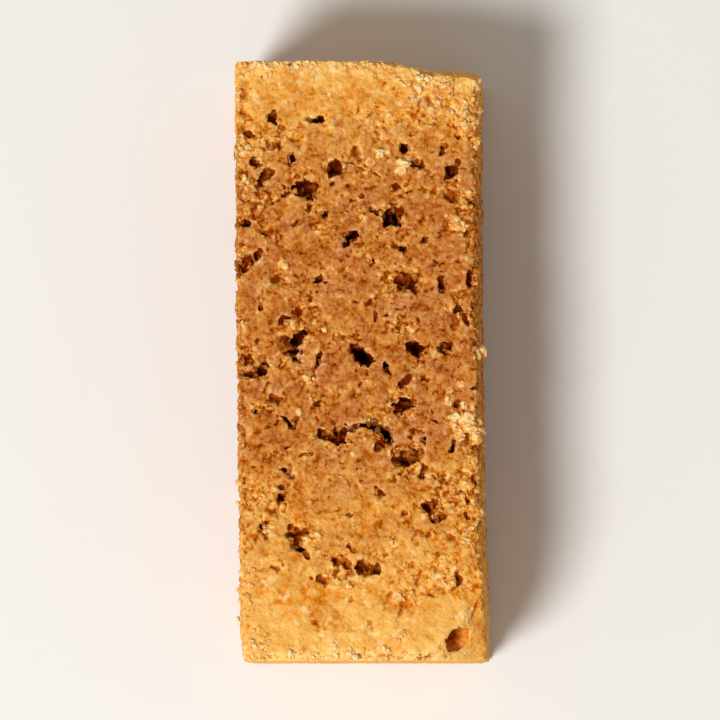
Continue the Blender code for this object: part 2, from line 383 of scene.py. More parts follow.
def strewnPits(cutters, rng):
    low, high = hollows["pitLength"]
    for facing, count in hollows["facePits"].items():
        for _ in range(count):
            spread = Vector([0 if n else rng.uniform(-0.95, 0.95) for n in facing])
            if not facing[1]:
                spread.y = rng.triangular(-0.8, 0.8, 0)
            place = knifeCut(Vector([h * (n + s) for h, n, s in zip(half, facing, spread)]))
            length = (low + (high - low) * rng.random() ** 2) * mm
            addSlit(cutters, rng, place, Vector(facing), length, rng.uniform(0, math.tau))


def edgeBites(cutters, rng):
    low, high = hollows["biteSize"]
    for _ in range(hollows["edgeBites"]):
        corner = Vector((rng.choice((-1, 1)), rng.choice((-1, 1)), rng.choice((-1, 1, 1))))
        along = rng.choices((0, 1, 2), (3, 7, 1))[0]
        corner[along] = rng.uniform(-1, 1)
        place = knifeCut(Vector([h * c for h, c in zip(half, corner)]))
        size = (low + (high - low) * rng.random() ** 2) * mm
        addBlob(cutters, place, Vector([size * rng.uniform(0.5, 1) for _ in range(3)]), Euler((0, 0, 0)))


# The crumb itself: knife-smoothed plates, torn crumb between them, and pits where a grain is gone
crumb = {
    "voxel": 0.2 * mm,
    "plate": 5.5 * mm,
    "clump": 1.2 * mm,
    "clumpHeight": 0.44 * mm,
    "tornDepth": 0.12 * mm,
    "grain": 0.55 * mm,
    "grainHeight": 0.14 * mm,
    "pitDepth": 0.65 * mm,
    "slitDrop": 0.45 * mm,
    "wallGrain": 0.22 * mm,
    "wander": 0.5 * mm,
    "fray": 0.22 * mm,
    "pitShare": 0.019,
    "edgeLoss": 0.8 * mm,
    "triangles": 196000,
    "fineBand": 1.4 * mm,
    "swell": 1.4 * mm,
    "swellHeight": 0.2 * mm,
    "cavityRounds": 12,
}

# Millimetres: x, y and reach, of places that tore open, were left smooth, baked darker than their end,
# are strewn with pale crumb, or have cream-coloured crust
tornSpots = [(9, 33, 6), (12.5, 29.5, 3.5), (-13.8, 26, 3), (12.5, -8, 3), (12, -18, 6), (11, -26, 4),
             (-11.5, -17, 4), (-4, -25, 3.5), (6, -28, 4), (-13, -1, 2.5), (-9, 3, 3), (5, -5.5, 3),
             (-13, 20, 3), (6, 10, 2.5), (12.5, 7, 2.5), (6, -12, 3)]
smoothSpots = [(-6, 34.5, 7), (-4, -32, 9), (7, -32, 5), (-1, -18, 5), (-2, 9, 4.5), (-13.5, 7, 2.5),
               (9, 5, 3), (0, -4, 3), (-3, 13, 3), (-7, -11, 3), (9, -1.5, 2.5), (-12, 3, 2)]
blushes = [(-8.3, 35.0, 1.5), (-4.3, -31.0, 2.6), (8.5, -14.5, 2.0)]
paleSpots = [(9, 33, 6), (13, 29.5, 3.5), (-13.5, 25.5, 4), (-11.5, 35.8, 3), (-8, 35.8, 2.5),
             (-4.5, 35.8, 2.5), (-1, 35.8, 2.5), (2.5, 35.5, 2.5),
             (13, -8, 3), (-11.5, -17, 2), (-12, -34.5, 2.5), (-6, -35.5, 3), (0, -35.5, 3), (5, -35.5, 3),
             (-14, -26, 3), (-3.5, -26, 2.5), (12, 17, 2), (13.5, -19, 3), (6, -28, 3), (13.5, 0.5, 2)]
creamSpots = [(7.5, 33.5, 4.5), (12.5, 32.0, 3.5), (1, 35.6, 2.5), (-3.5, 35.8, 2), (-12, 35.8, 2)]


def nearest(point, spots):  # 1 in the middle of one of these spots, 0 outside them all
    place = Vector((point.x, point.y)) / mm
    return max(1 - ramp((place - Vector((x, y))).length, 0.35 * reach, reach) for x, y, reach in spots)


hollowMiddles = KDTree(len(topHollows))
for index, (x, y, *_) in enumerate(topHollows):
    hollowMiddles.insert((x * mm, y * mm, bar["height"]), index)
hollowMiddles.balance()


def rimNearness(point):  # 1 at the rim of a large hollow in the top
    _, index, away = hollowMiddles.find(point)
    length = topHollows[index][2] * mm
    return 1 - ramp(away, 0.6 * length, 1.3 * length)


def edgeNearness(point):  # 1 on an edge of the bar, 0 from 2 mm away
    inset = sorted((half.x - abs(point.x), half.y - abs(point.y), half.z - abs(point.z - half.z)))
    return 1 - ramp(inset[1], 0.0, 2.0 * mm)


def bakeAt(point):  # 0 where the slab baked to caramel, and rather over 1 at its pale ends
    y = point.y / mm + 1.6 * noise.noise(point / (5 * mm)) + 0.7 * noise.noise(point / (1.3 * mm))
    farEnd = 0.4 * ramp(y, 19, 29) + 0.6 * ramp(y, 27, 35)
    nearEnd = 0.5 * ramp(y, -7, -20) + 0.5 * ramp(y, -21, -31)
    butter = 0.3 * ramp(y, -24, -35) + 0.15 * ramp(y, 24, 33)
    return (max(farEnd, nearEnd) + butter) * (1 - 0.6 * nearest(point, blushes))


def cellsAt(point, size):  # how far the two nearest cell middles are, in cells, and where the first is
    distances, places = noise.voronoi(point / size)
    return distances[0], distances[1], places[0]


def crustAt(point):  # 1 high on the slab's own outer faces, less lower down and in cream spots
    end = (abs(point.y) - half.y) / mm + 0.7 * noise.noise(point / (1.1 * mm))
    patch = 0.5 + 0.8 * noise.noise(point / (3.1 * mm))
    high = ramp(point.z, 15 * mm, 23 * mm)
    cream = 0.8 * high * nearest(point, creamSpots) * ramp(noise.noise(point / (1.3 * mm)), -0.4, 0.3)
    return max(cream, ramp(end, -1.7, -0.3) * (0.5 * patch + (1 - 0.5 * patch) * high))


def tornAt(point, bake, depth):
    first, second, _ = cellsAt(point + noise.noise_vector(point / (3 * mm)) * 1.2 * mm, crumb["plate"])
    seam = 1 - ramp(second - first, 0.0, 0.3)
    patch = 0.5 + 0.7 * noise.noise(point / (3.6 * mm)) + 0.3 * noise.noise(point / (1.5 * mm))
    spots = 0.4 * nearest(point, tornSpots) - 0.3 * nearest(point, smoothSpots) + 0.1 * rimNearness(point)
    torn = ramp(0.6 * patch + 0.22 * seam + spots + 0.3 * edgeNearness(point) - 0.08 * bake, 0.32, 0.75)
    return max(torn, ramp(depth, 0.2 * mm, 0.6 * mm))


# Height over the cut, tone of the grain, how torn and how baked it is, and the grain's middle
def crumbAt(point, depth):
    bake = bakeAt(point)
    torn = tornAt(point, bake, depth)
    fine = noise.noise_vector(point / (0.7 * mm)) * 0.3 * mm
    drifted = point + noise.noise_vector(point / (2.6 * mm)) * 0.6 * mm + fine
    away, second, clump = cellsAt(drifted, crumb["clump"])
    grainAway, grainSecond, grain = cellsAt(point + fine, crumb["grain"])
    tone = noise.cell(grain * 7.13)
    dome = 1 - min(1.0, 1.5 * away) ** 2
    grainDome = 1 - min(1.0, 1.4 * grainAway) ** 2
    height = crumb["swellHeight"] * noise.noise(point / crumb["swell"])
    clumpRise = crumb["clumpHeight"] * (0.6 * dome - 0.5 + 0.4 * noise.cell(clump * 3.3))
    height += torn * (1 - 0.25 * bake) * (clumpRise - crumb["tornDepth"])
    height += crumb["grainHeight"] * (grainDome - 0.6 + 0.3 * tone) * (0.35 + 0.65 * torn)
    pitShare = crumb["pitShare"] * (0.5 + 2.5 * torn) * (1 - 0.65 * bake)
    if 0.5 + 0.5 * noise.cell(grain * 3.71 + Vector((5, 9, 2))) < pitShare:
        height -= crumb["pitDepth"] * ramp(grainSecond - grainAway, 0.0, 0.5)
    if 0.5 + 0.5 * noise.cell(clump * 5.37 + Vector((2, 7, 4))) < 0.7 * pitShare:
        height -= crumb["pitDepth"] * ramp(second - away, 0.0, 0.5)
    return height, tone, torn, bake, grain * crumb["grain"]


def cavities(mesh, rounds):  # how far each point lies below its surroundings, in millimetres
    count = len(mesh.vertices)
    places = numpy.empty(count * 3)
    mesh.vertices.foreach_get("co", places)
    places = places.reshape(-1, 3)
    ends = numpy.empty(len(mesh.edges) * 2, dtype=numpy.int64)
    mesh.edges.foreach_get("vertices", ends)
    first, second = ends.reshape(-1, 2).T
    shares = numpy.bincount(ends, minlength=count)[:, None]
    smooth = places
    for _ in range(rounds):
        total = [numpy.bincount(first, smooth[second, axis], count)
                 + numpy.bincount(second, smooth[first, axis], count) for axis in range(3)]
        smooth = 0.5 * smooth + 0.5 * numpy.array(total).T / shares
    normals = numpy.empty(count * 3)
    mesh.vertex_normals.foreach_get("vector", normals)
    return ((smooth - places) * normals.reshape(-1, 3)).sum(axis=1) / mm


def slitShares(places):  # 1 inside the top's narrow gashes and 0 away from them, for an array of points
    upper = numpy.flatnonzero(places[:, 2] > bar["height"] - hollows["slitReach"])
    flat = places[upper, :2]
    found = numpy.zeros(len(upper))
    for width, depth, *bends in topGashes:
        # a deeper gash gets a larger share: the crumb sinks further there and its painted shade is darker
        darkness = min(1.5, 0.4 + 0.45 * depth)
        for start, end in zip(bends, bends[1:]):
            first = numpy.array(start) * mm
            way = numpy.array(end) * mm - first
            along = numpy.clip((flat - first) @ way / (way @ way), 0, 1)
            away = numpy.linalg.norm(flat - first - along[:, None] * way, axis=1)
            found = numpy.maximum(found, darkness * numpy.clip(1.6 - 2.2 * away / (width * mm), 0, 1))
    shares = numpy.zeros(len(places))
    shares[upper] = found
    return shares


def crumbleBar(obj, surface):
    mesh = obj.data
    points = [v.co.copy() for v in mesh.vertices]
    normals = [n.vector.copy() for n in mesh.vertex_normals]
    crumbs = [crumbAt(point, surface.find_nearest(point)[3]) for point in points]
    between = [(point + made[4]) / 2 for point, made in zip(points, crumbs)]  # so gashes follow the grains
    slits = slitShares(numpy.array(between))
    values = {"grainTone": [], "torn": [], "bake": [], "relief": [], "slit": slits}
    values["crust"] = [crustAt(point) for point in points]
    for vert, point, normal, made, slit in zip(mesh.vertices, points, normals, crumbs, slits):
        height, tone, torn, bake, grain = made
        height -= crumb["slitDrop"] * slit * max(0.0, normal.z)
        height += crumb["wallGrain"] * (1 - min(1.0, 1.3 * abs(normal.z))) * noise.cell(grain * 2900)
        ragged = noise.noise(point / (2.3 * mm)) + 0.6 * noise.noise(point / (0.9 * mm)) + 0.15
        kept = 0.7 * ramp(point.y, half.y - 3 * mm, half.y - 1 * mm)  # the far edge crumbled least
        height -= crumb["edgeLoss"] * edgeNearness(point) * max(0.0, ragged) * (1 - kept)
        if point.z < 0.02 * mm:
            height = min(0.0, height)
        sideways = noise.noise_vector(point / (1.4 * mm)) * crumb["wander"]
        sideways += noise.noise_vector(point / (0.5 * mm)) * crumb["fray"]
        sideways.z = 0
        away = (point - bar["breakHollow"]).length
        inward = min(half.x - abs(point.x), half.y - abs(point.y))
        sideways *= ramp(inward, 1.2 * mm, 2.5 * mm) * ramp(away, 2.5 * mm, 4.5 * mm)
        vert.co = point + normal * height + sideways
        place, facing = surface.find_nearest(vert.co)[:2]
        values["grainTone"].append(tone)
        values["torn"].append(torn)
        values["bake"].append(bake)
        # near the broken corner's dimple the relief counts for less, so the painted shade there stays lighter
        shown = 0.64 + 0.36 * ramp(away, 2 * mm, 3 * mm)
        values["relief"].append((vert.co - place).dot(facing) / mm * shown)
    values["cavity"] = cavities(mesh, crumb["cavityRounds"])
    for name, numbers in values.items():
        mesh.attributes.new(name, "FLOAT", "POINT").data.foreach_set("value", numbers)


def thinMesh(obj):  # leaves the top alone, as it is what shows
    away = obj.vertex_groups.new(name="awayFromTop")
    limit = bar["height"] - crumb["fineBand"]
    away.add([v.index for v in obj.data.vertices if v.co.z < limit], 1.0, "REPLACE")
    thin = obj.modifiers.new("thin", "DECIMATE")
    thin.ratio = crumb["triangles"] / sum(len(f.vertices) - 2 for f in obj.data.polygons)
    thin.vertex_group = away.name
    applyModifiers(obj)
    obj.vertex_groups.clear()


def makeBar():
    obj = cutBar()
    bm = bmesh.new()
    bm.from_mesh(obj.data)
    surface = BVHTree.FromBMesh(bm)
    bm.free()
    report("knife cuts done")
    cutters = bpy.data.collections.new("hollowCutters")
    rng = random.Random(hollows["seed"])
    shownHollows(cutters, rng)
    strewnPits(cutters, rng)
    edgeBites(cutters, rng)
    report(f"{len(cutters.objects)} hollows ready")
    cut = obj.modifiers.new("hollows", "BOOLEAN")
    cut.operation = "DIFFERENCE"
    cut.operand_type = "COLLECTION"
    cut.collection = cutters
    cut.solver = "MANIFOLD"
    applyModifiers(obj)
    removeCollection(cutters)
    report(f"hollows cut, {len(obj.data.polygons)} faces")
    remesh = obj.modifiers.new("crumb", "REMESH")
    remesh.mode = "VOXEL"
    remesh.voxel_size = crumb["voxel"]
    applyModifiers(obj)
    report(f"remeshed, {len(obj.data.vertices)} points")
    crumbleBar(obj, surface)
    report("crumb raised")
    thinMesh(obj)
    keepInBox(obj.data)
    obj.data.shade_smooth()
    report(f"thinned to {len(obj.data.polygons)} faces")
    return obj


# The colours of the crumb, caramel and gold from a dent's through the knife-cut face's to a crest's, their
# dark end partly painted shade and their light end partly painted light, then how fine each pattern is, in
# features to the metre, and how the surface takes the light
tones = {
    "caramel": [(0.0, (0.19, 0.020, 0.001)), (0.25, (0.39, 0.088, 0.007)), (0.5, (0.52, 0.176, 0.030)),
                (0.75, (0.64, 0.262, 0.060)), (1.0, (0.88, 0.50, 0.17))],
    "gold": [(0.0, (0.48, 0.10, 0.002)), (0.25, (0.72, 0.24, 0.015)), (0.5, (0.80, 0.39, 0.082)),
             (0.75, (0.87, 0.48, 0.112)), (1.0, (0.91, 0.64, 0.28))],
    "pale": (0.98, 0.74, 0.37, 1),
    # Painted warm shade for the feet and steep sides of grains and crumbs
    "foot": (0.60, 0.19, 0.018, 1),
    "goldFootShade": (0.84, 0.38, 0.06, 1),
    "crust": (0.99, 0.62, 0.195, 1),
    "rose": (0.98, 1.02, 1.65, 1),
    # Painted shade for hollows, narrow gashes and the deepest holes, and painted warm shade for the sides
    # below the top
    "shade": (0.50, 0.26, 0.10, 1),
    "goldShade": (0.72, 0.42, 0.15, 1),
    "slit": (0.16, 0.016, 0.001, 1),
    "goldSlitShade": (0.48, 0.12, 0.007, 1),
    "deep": (0.05, 0.004, 0.0006, 1),
    "side": (1.0, 0.86, 0.70, 1),
    "fine": 3600,
    "grain": 2000,
    "mottle": 700,
    "wide": 180,
    "patches": 420,
    "rosy": 260,
    "flecks": 1350,
    "pits": 1500,
    "ragged": 1250,
    "cream": 850,
    "blotches": 330,
    "dull": 900,
    "bumps": 2600,
    "bumpStrength": 0.8,
    "bumpHeight": 0.13 * mm,
    "glow": 0.15,
    "glowColour": (1.0, 0.9, 0.8),
    "glowReach": 0.15 * mm,
    "sideBelow": (20.5 * mm, 23.8 * mm),
}


def crumbMaterial():
    material = bpy.data.materials.new("bakedCrumb")
    material.use_nodes = True
    tree = material.node_tree
    link = tree.links.new

    def add(kind, **settings):
        node = tree.nodes.new(kind)
        for key, value in settings.items():
            setattr(node, key, value)
        return node

    def attribute(name):
        return add("ShaderNodeAttribute", attribute_name=name).outputs["Fac"]

    def total(*values):
        result = values[0]
        for value in values[1:]:
            node = add("ShaderNodeMath", operation="ADD")
            link(result, node.inputs[0])
            link(value, node.inputs[1])
            result = node.outputs[0]
        return result

    def times(first, second):
        node = add("ShaderNodeMath", operation="MULTIPLY")
        link(first, node.inputs[0])
        link(second, node.inputs[1])
        return node.outputs[0]

    def mapped(value, low, high, outLow, outHigh):
        node = add("ShaderNodeMapRange")
        link(value, node.inputs["Value"])
        for key, number in (("From Min", low), ("From Max", high), ("To Min", outLow), ("To Max", outHigh)):
            node.inputs[key].default_value = number
        return node.outputs[0]

    def mixed(factor, first, second):
        node = add("ShaderNodeMix", data_type="RGBA")
        link(factor, node.inputs["Factor"])
        for key, value in (("A", first), ("B", second)):
            if isinstance(value, tuple):
                node.inputs[key].default_value = value
            else:
                link(value, node.inputs[key])
        return node.outputs["Result"]

    def tinted(factor, colour, tint):
        result = mixed(factor, colour, tint)
        result.node.blend_type = "MULTIPLY"
        return result

    def noised(scale, detail=2.0, roughness=0.5):
        node = add("ShaderNodeTexNoise")
        for key, number in (("Scale", scale), ("Detail", detail), ("Roughness", roughness)):
            node.inputs[key].default_value = number
        link(coords, node.inputs["Vector"])
        return node.outputs["Fac"]

    def cells(scale):
        node = add("ShaderNodeTexVoronoi", feature="F1")
        node.inputs["Scale"].default_value = scale
        link(coords, node.inputs["Vector"])
        return node.outputs

    def ramped(factor, stops):
        node = add("ShaderNodeValToRGB")
        elements = node.color_ramp.elements
        while len(elements) < len(stops):
            elements.new(0.5)
        for element, (place, colour) in zip(elements, stops):
            element.position = place
            element.color = (*colour, 1)
        link(factor, node.inputs["Fac"])
        return node.outputs["Color"]

    coords = add("ShaderNodeTexCoord").outputs["Object"]
    shader = tree.nodes["Principled BSDF"]
    shader.inputs["Specular IOR Level"].default_value = 0.0
    shader.inputs["Subsurface Weight"].default_value = tones["glow"]
    shader.inputs["Subsurface Radius"].default_value = tones["glowColour"]
    shader.inputs["Subsurface Scale"].default_value = tones["glowReach"]

    torn, cavity, relief, bake, rise = (attribute(n) for n in ("torn", "cavity", "relief", "bake", "rise"))
    grains = cells(tones["grain"])
    flecks = cells(tones["flecks"])
    fewCells = mapped(flecks["Color"], 0.82, 0.86, 0.0, 1.0)
    fleck = times(fewCells, mapped(flecks["Distance"], 0.15, 0.5, 1.0, 0.0))
    # Pits too fine for the mesh: a dent in the bump, with their shade painted into the tone
    pit = mapped(noised(tones["pits"], 1.0), 0.61, 0.70, 0.0, 1.0)
    fineTone = total(
        mapped(noised(tones["grain"]), 0.3, 0.7, -0.24, 0.24),
        mapped(noised(tones["fine"]), 0.3, 0.7, -0.1, 0.1),
        mapped(grains["Color"], 0.0, 1.0, -0.2, 0.2),
        mapped(attribute("grainTone"), -1.0, 1.0, -0.08, 0.08),
        mapped(fleck, 0.0, 1.0, 0.0, 0.36),
        mapped(pit, 0.0, 1.0, 0.0, -0.4),
    )
    tone = total(
        times(times(fineTone, mapped(torn, 0.0, 1.0, 0.7, 1.45)), mapped(bake, 0.3, 1.2, 1.0, 0.45)),
        mapped(noised(tones["mottle"]), 0.3, 0.7, 0.36, 0.64),
        mapped(noised(tones["wide"]), 0.3, 0.7, -0.08, 0.08),
        # Painted shade in dents and painted light on crests, from how far each point lies below its
        # surroundings
        times(mapped(cavity, -0.1, 0.14, 0.2, -0.4), mapped(bake, 0.3, 1.2, 1.0, 0.6)),
        mapped(bake, 1.0, 1.3, 0.0, 0.18),
        times(mapped(noised(tones["blotches"]), 0.35, 0.65, -0.13, 0.11), mapped(bake, 0.3, 1.0, 0.0, 1.0)),
        # Painted light: grains and crumbs lighter the higher they stand over the crumb
        mapped(rise, 0.0, 0.3, 0.0, 0.16),
    )
    rosyPatch = mapped(noised(tones["rosy"], 4.0), 0.38, 0.66, 0.0, 1.0)
    rosiness = times(rosyPatch, mapped(torn, 0.1, 0.7, 1.0, 0.0))
    caramel = tinted(rosiness, ramped(tone, tones["caramel"]), tones["rose"])
    gold = ramped(tone, tones["gold"])
    golden = mapped(noised(tones["patches"]), 0.5, 0.62, 0.0, 0.35)
    baked = mixed(total(bake, mapped(torn, 0.2, 1.0, 0.0, 0.3), golden), caramel, gold)
    crusted = mixed(times(attribute("crust"), mapped(tone, 0.3, 0.7, 0.4, 1.0)), baked, tones["crust"])
    frothy = total(noised(tones["cream"], 3.0), mapped(attribute("crust"), 0.0, 1.0, 0.0, 0.06))
    creamy = times(mapped(frothy, 0.56, 0.72, 0.0, 0.65), mapped(bake, 0.3, 1.0, 0.0, 1.0))
    creamed = mixed(creamy, crusted, tones["pale"])
    # The grains' own pale colour, painted strongest on their raised tops as painted light and weaker lower
    # down
    paleness = times(attribute("paleness"), mapped(rise, 0.0, 0.22, 0.2, 1.0))
    paled = mixed(times(paleness, mapped(tone, 0.25, 0.65, 0.3, 1.1)), creamed, tones["pale"])
    # Painted warm shade on the feet and steep sides of grains and crumbs
    foot = mixed(mapped(bake, 0.2, 0.9, 0.0, 1.0), tones["foot"], tones["goldFootShade"])
    footShaded = mixed(mapped(attribute("foot"), 0.0, 1.0, 0.0, 0.9), paled, foot)
    # Painted shade in hollows: darker the further the surface lies below the knife-cut face
    shade = mixed(mapped(bake, 0.3, 1.0, 0.0, 1.0), tones["shade"], tones["goldShade"])
    ragged = total(relief, mapped(noised(tones["ragged"], 3.0), 0.3, 0.7, -0.22, 0.22))
    shaded = tinted(mapped(ragged, -0.2, -0.9, 0.0, 1.0), footShaded, shade)
    # Painted dark shade in the narrow gashes, broken up by noise and by the grains' tone
    slitShade = mixed(mapped(bake, 0.4, 1.1, 0.0, 0.9), tones["slit"], tones["goldSlitShade"])
    broken = mapped(noised(tones["ragged"], 3.0), 0.36, 0.6, 1.1, 0.4)
    inSlit = times(mapped(attribute("slit"), 0.15, 0.9, 0.0, 0.95), mapped(tone, 0.2, 0.7, 1.05, 0.8))
    slit = mixed(times(inSlit, broken), shaded, slitShade)
    # Painted near-black shade in the deepest hollows and gashes
    depth = total(mapped(ragged, -0.8, -1.9, 0.0, 0.9), mapped(attribute("slit"), 0.95, 1.4, 0.0, 0.5))
    deep = mixed(times(depth, mapped(tone, 0.1, 0.6, 1.05, 0.75)), slit, tones["deep"])
    # Painted warm shade: the sides below the top are tinted warmer and darker
    apart = add("ShaderNodeSeparateXYZ")
    link(coords, apart.inputs[0])
    sided = tinted(mapped(apart.outputs["Z"], *tones["sideBelow"], 1.0, 0.0), deep, tones["side"])
    link(sided, shader.inputs["Base Color"])
    link(mapped(noised(tones["dull"]), 0.3, 0.7, 0.45, 0.7), shader.inputs["Roughness"])

    bump = add("ShaderNodeBump")
    bump.inputs["Strength"].default_value = tones["bumpStrength"]
    bump.inputs["Distance"].default_value = tones["bumpHeight"]
    bumps = total(
        noised(tones["bumps"], 3.0),
        mapped(grains["Distance"], 0.0, 0.8, 0.8, 0.0),
        mapped(pit, 0.0, 1.0, 0.0, -0.4),
    )
    link(bumps, bump.inputs["Height"])
    link(bump.outputs[0], shader.inputs["Normal"])
    return material


def finishPiece(piece, material):
    piece.data.materials.clear()
    piece.data.materials.append(material)
    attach(piece, "root")


# Grains half fused to the crumb, one piece for each kind. Sizes in millimetres, density to the square one
grains = {
    "caramelGrains": {"density": 2.0, "size": (0.35, 0.8), "sink": 0.36, "paleness": (0.0, 0.12), "seed": 3},
    "goldGrains": {"density": 2.4, "size": (0.35, 0.95), "sink": 0.33, "paleness": (0.05, 0.5), "seed": 5},
    "paleGrains": {"density": 0.8, "size": (0.3, 0.75), "sink": 0.34, "paleness": (0.35, 1.0), "seed": 8},
}


grainShape = {
    "count": 6,
    "uneven": (0.7, 1.25),
    "breadth": (0.7, 0.95),
    "height": (0.55, 0.85),
    "seed": 4,
}


def grainShapes():
    rng = random.Random(grainShape["seed"])
    shapes = bpy.data.collections.new("grainShapes")
    for index in range(grainShape["count"]):
        bm = bmesh.new()
        bmesh.ops.create_icosphere(bm, subdivisions=1, radius=0.5)
        for vert in bm.verts:
            vert.co *= rng.uniform(*grainShape["uneven"])
        size = (1.0, rng.uniform(*grainShape["breadth"]), rng.uniform(*grainShape["height"]))
        bmesh.ops.scale(bm, vec=size, verts=bm.verts)
        moveTo(meshObject(f"grainShape{index}", bm), shapes)
    return shapes


def scatterTree(name, body, shapes, kind):
    tree = bpy.data.node_groups.new(name, "GeometryNodeTree")
    tree.interface.new_socket("Geometry", in_out="OUTPUT", socket_type="NodeSocketGeometry")
    link = tree.links.new

    def add(kindOfNode, settings=None, **values):
        node = tree.nodes.new(kindOfNode)
        for key, value in (settings or {}).items():
            setattr(node, key, value)
        for key, value in values.items():
            node.inputs[key.replace("_", " ")].default_value = value
        return node

    def randomNumber(low, high, seed):
        node = add("FunctionNodeRandomValue", {"data_type": "FLOAT"}, Seed=seed)
        node.inputs[2].default_value = low
        node.inputs[3].default_value = high
        return node.outputs[1]

    def stored(geometry, attributeName, value):
        node = add("GeometryNodeStoreNamedAttribute", {"data_type": "FLOAT", "domain": "INSTANCE"})
        node.inputs["Name"].default_value = attributeName
        link(geometry, node.inputs["Geometry"])
        link(value, node.inputs["Value"])
        return node.outputs[0]

    surface = add("GeometryNodeObjectInfo", Object=body)
    share = add("GeometryNodeInputNamedAttribute", {"data_type": "FLOAT"}, Name=name + "Density")
    scatter = add("GeometryNodeDistributePointsOnFaces", Seed=kind["seed"])
    link(surface.outputs["Geometry"], scatter.inputs["Mesh"])
    link(share.outputs["Attribute"], scatter.inputs["Density"])
    size = randomNumber(kind["size"][0] * mm, kind["size"][1] * mm, 7)
    depth = add("ShaderNodeMath", {"operation": "MULTIPLY"})
    link(size, depth.inputs[0])
    depth.inputs[1].default_value = -kind["sink"]
    sunk = add("ShaderNodeVectorMath", {"operation": "SCALE"})
    link(scatter.outputs["Normal"], sunk.inputs[0])
    link(depth.outputs[0], sunk.inputs["Scale"])
    move = add("GeometryNodeSetPosition")
    link(scatter.outputs["Points"], move.inputs["Geometry"])
    link(sunk.outputs[0], move.inputs["Offset"])
    turn = add("FunctionNodeRandomValue", {"data_type": "FLOAT_VECTOR"})
    turn.inputs["Max"].default_value = (math.tau, math.tau, math.tau)
    pick = add("GeometryNodeCollectionInfo", Collection=shapes, Separate_Children=True, Reset_Children=True)
    place = add("GeometryNodeInstanceOnPoints", Pick_Instance=True)
    link(move.outputs[0], place.inputs["Points"])
    link(pick.outputs[0], place.inputs["Instance"])
    link(turn.outputs[0], place.inputs["Rotation"])
    link(size, place.inputs["Scale"])
    toned = stored(place.outputs[0], "grainTone", randomNumber(-1.0, 1.0, 21))
    paled = stored(toned, "paleness", randomNumber(*kind["paleness"], 22))
    real = add("GeometryNodeRealizeInstances")
    link(paled, real.inputs[0])
    out = add("NodeGroupOutput")
    link(real.outputs[0], out.inputs[0])
    return tree


def grainDensities(body):  # torn crumb and edges hold most loose grains, the underside none
    mesh = body.data
    numbers = {name: [] for name in grains}
    torn = [value.value for value in mesh.attributes["torn"].data]
    reliefs = [value.value for value in mesh.attributes["relief"].data]
    for vert, t, relief in zip(mesh.vertices, torn, reliefs):
        shown = 0.0 if vert.co.z < 0.3 * mm else (1 - ramp(-relief, 0.25, 0.7)) / (mm * mm)
        edge = edgeNearness(vert.co)
        flock = ramp(noise.noise(vert.co / (2.8 * mm) + Vector((4, 4, 4))), -0.2, 0.5)
        fringe = edge * ramp(abs(vert.co.y) / half.y, 0.9, 0.97)
        fringe *= ramp(vert.co.z, 15 * mm, 23 * mm)
        pale = nearest(vert.co, paleSpots) if vert.co.z > bar["topFrom"] else 0.0
        paleShare = (0.1 + 1.1 * t) * flock + 0.3 * edge + 3.0 * fringe + 1.6 * pale
        numbers["caramelGrains"].append(shown * (0.06 + 1.1 * t))
        numbers["goldGrains"].append(shown * (0.03 + 1.1 * t + 0.7 * edge))
        numbers["paleGrains"].append(shown * paleShare)
    for name, values in numbers.items():
        scaled = [value * grains[name]["density"] for value in values]
        mesh.attributes.new(name + "Density", "FLOAT", "POINT").data.foreach_set("value", scaled)


def addRise(piece, surface, leastBake):  # how far each point stands over the bar's own crumb, and its bake
    values = {"rise": [], "foot": [], "bake": [], "torn": [1.0] * len(piece.data.vertices)}
    for vert in piece.data.vertices:
        place, facing = surface.find_nearest(vert.co)[:2]
        rise = (vert.co - place).dot(facing) / mm
        upright = vert.normal.dot((facing + Vector((0, 0, 1))).normalized())
        values["rise"].append(rise)
        # a mask for painted warm shade on the feet and steep sides of grains and crumbs
        values["foot"].append(max(1 - ramp(rise, -0.02, 0.2), 0.8 * (1 - ramp(upright, 0.1, 0.75))))
        values["bake"].append(max(bakeAt(vert.co), leastBake))
    for name in ("bake", "torn"):
        if name in piece.data.attributes:
            piece.data.attributes.remove(piece.data.attributes[name])
    for name, numbers in values.items():
        piece.data.attributes.new(name, "FLOAT", "POINT").data.foreach_set("value", numbers)


def makeGrains(body, material, surface):
    grainDensities(body)
    shapes = grainShapes()
    for name, kind in grains.items():
        piece = meshObject(name, bmesh.new())
        piece.modifiers.new("scatter", "NODES").node_group = scatterTree(name, body, shapes, kind)
        applyModifiers(piece)
        keepInBox(piece.data)
        addRise(piece, surface, 0.0)
        finishPiece(piece, material)
        report(f"{name}: {len(piece.data.polygons)} faces")
    removeCollection(shapes)
    for name in grains:
        body.data.attributes.remove(body.data.attributes[name + "Density"])


